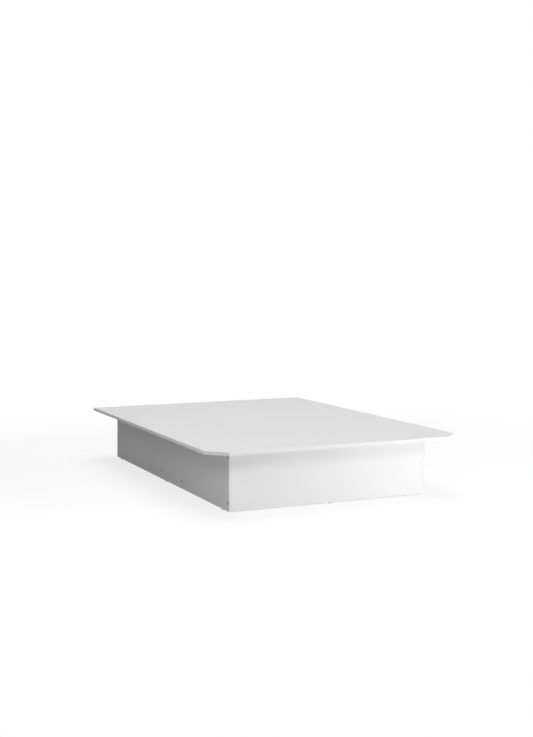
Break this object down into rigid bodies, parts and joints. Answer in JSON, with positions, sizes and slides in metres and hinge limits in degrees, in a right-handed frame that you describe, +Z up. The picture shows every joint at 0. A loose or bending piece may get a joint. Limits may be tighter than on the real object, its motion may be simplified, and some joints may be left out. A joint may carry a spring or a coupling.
{
  "type": "bed base",
  "caption": "White platform bed base: a flat deck with cut foot corners on a recessed box plinth of board panels, joined by screws, dowels, brackets and plates.",
  "frame": {"origin": "on the floor under the middle of the deck", "axes": "+X to the right seen from the foot, +Y from the foot to the head, +Z up"},
  "size_m": [1.4, 1.95, 0.316],
  "materials": {
    "white_board": "satin white melamine on chipboard",
    "white_band": "satin white edge strip",
    "dark_screw": "dark nickel plating",
    "zinc_steel": "bright zinc plating",
    "beech": "raw turned beech",
    "nylon": "moulded nylon"
  },
  "bodies": {
    "root": {"connecting_screws": "dark_screw", "cross_bracket_deck_screws": "zinc_steel", "cross_bracket_panel_screws": "zinc_steel", "cross_glide_nails": "zinc_steel", "deck_foot_band": "white_band", "deck_foot_board": "white_board", "deck_foot_left_band": "white_band", "deck_foot_right_band": "white_band", "deck_head_band": "white_band", "deck_head_board": "white_board", "deck_head_left_band": "white_band", "deck_head_right_band": "white_band", "deck_left_clip_band": "white_band", "deck_right_clip_band": "white_band", "foot_panel": "white_board", "foot_panel_bottom_band": "white_band", "foot_panel_glide": "nylon", "foot_panel_left_bracket": "zinc_steel", "foot_panel_right_bracket": "zinc_steel", "foot_rib": "white_board", "foot_rib_glide": "nylon", "foot_rib_left_bracket": "zinc_steel", "foot_rib_right_bracket": "zinc_steel", "head_panel": "white_board", "head_panel_glide": "nylon", "head_panel_left_bracket": "zinc_steel", "head_panel_right_bracket": "zinc_steel", "head_rib": "white_board", "head_rib_glide": "nylon", "head_rib_left_bracket": "zinc_steel", "head_rib_right_bracket": "zinc_steel", "left_side_bottom_band": "white_band", "left_side_foot_band": "white_band", "left_side_foot_bracket": "zinc_steel", "left_side_glide_1": "nylon", "left_side_glide_2": "nylon", "left_side_glide_3": "nylon", "left_side_head_band": "white_band", "left_side_head_bracket": "zinc_steel", "left_side_panel": "white_board", "panel_dowels": "beech", "right_side_bottom_band": "white_band", "right_side_foot_band": "white_band", "right_side_foot_bracket": "zinc_steel", "right_side_glide_1": "nylon", "right_side_glide_2": "nylon", "right_side_glide_3": "nylon", "right_side_head_band": "white_band", "right_side_head_bracket": "zinc_steel", "right_side_panel": "white_board", "seam_dowels": "beech", "seam_plate_1": "zinc_steel", "seam_plate_2": "zinc_steel", "seam_plate_3": "zinc_steel", "seam_plate_4": "zinc_steel", "seam_plate_screws": "zinc_steel", "side_bracket_deck_screws": "zinc_steel", "side_bracket_panel_screws": "zinc_steel", "side_glide_nails": "zinc_steel"}
  },
  "joints": []
}
